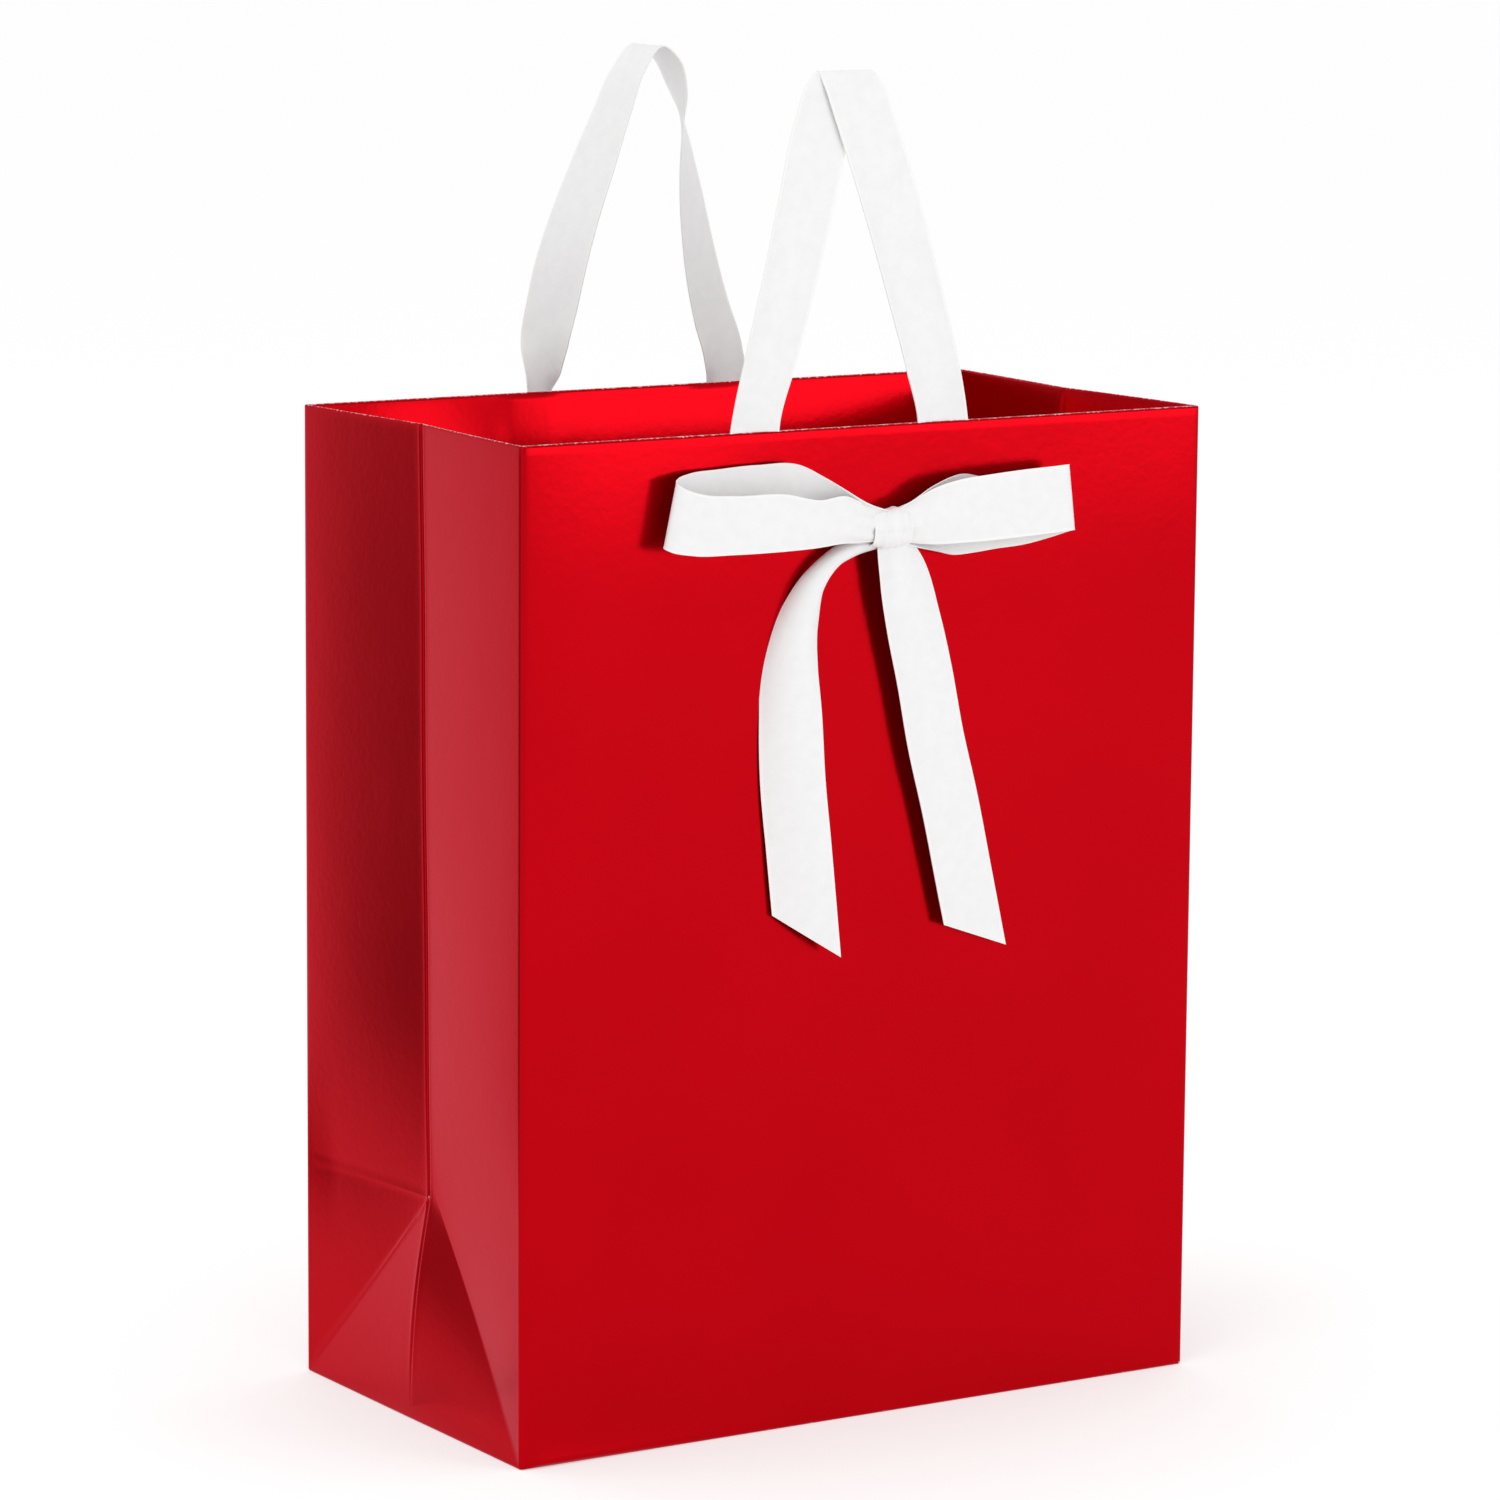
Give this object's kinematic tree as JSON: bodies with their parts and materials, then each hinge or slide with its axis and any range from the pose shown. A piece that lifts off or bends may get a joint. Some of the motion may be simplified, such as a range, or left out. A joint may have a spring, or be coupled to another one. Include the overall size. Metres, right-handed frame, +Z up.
{
  "type": "gift bag",
  "caption": "Block-bottom gift bag of red metallic paper with gusseted sides, ribbon handles at the rim and a tied satin ribbon bow on the front.",
  "frame": {"origin": "centre of the bag's underside", "axes": "+Z up, X across the width, and the panel with the bow faces -Y"},
  "size_m": [0.262, 0.1667, 0.4453],
  "materials": {
    "foil_paper": "satin metallic foil outside, plain white inside",
    "board": "matt uncoated card",
    "satin_ribbon": "white woven satin",
    "glue": "set hot-melt glue"
  },
  "bodies": {
    "bag": {"front_panel": "foil_paper", "back_panel": "foil_paper", "left_gusset_front": "foil_paper", "left_gusset_back": "foil_paper", "right_gusset_front": "foil_paper", "right_gusset_back": "foil_paper", "front_hem": "foil_paper", "back_hem": "foil_paper", "left_hem": "foil_paper", "right_hem": "foil_paper", "side_seam_flap": "foil_paper", "bottom_front_flap": "foil_paper", "bottom_back_flap": "foil_paper", "bottom_left_flap": "foil_paper", "bottom_right_flap": "foil_paper", "front_rim_card": "board", "back_rim_card": "board", "front_handle_left_end": "satin_ribbon", "front_handle_right_end": "satin_ribbon", "back_handle_left_end": "satin_ribbon", "back_handle_right_end": "satin_ribbon", "bow_glue_dot": "glue", "bow_knot": "satin_ribbon", "bow_left_loop": "satin_ribbon", "bow_right_loop": "satin_ribbon"},
    "front_handle": {"front_handle": "satin_ribbon"},
    "back_handle": {"back_handle": "satin_ribbon"},
    "bow_left_tail": {"bow_left_tail": "satin_ribbon"},
    "bow_right_tail": {"bow_right_tail": "satin_ribbon"},
    "base_board": {"base_board": "board"}
  },
  "joints": [
    {"name": "front_handle_swing", "type": "hinge", "parent": "bag", "child": "front_handle", "pos_m": [0, -0.07135, 0.3335], "axis": [1, 0, 0], "range_deg": [-32, 110]},
    {"name": "back_handle_swing", "type": "hinge", "parent": "bag", "child": "back_handle", "pos_m": [0, 0.07135, 0.3335], "axis": [-1, 0, 0], "range_deg": [-32, 150]},
    {"name": "left_tail_lift", "type": "hinge", "parent": "bag", "child": "bow_left_tail", "pos_m": [-0.008, -0.0786, 0.28995], "axis": [-1, 0, 0], "range_deg": [0, 70]},
    {"name": "right_tail_lift", "type": "hinge", "parent": "bag", "child": "bow_right_tail", "pos_m": [0.005, -0.0786, 0.28995], "axis": [-1, 0, 0], "range_deg": [0, 70]},
    {"name": "base_board_lift", "type": "slide", "parent": "bag", "child": "base_board", "axis": [0, 0, 1], "range_m": [0, 0.28]}
  ]
}
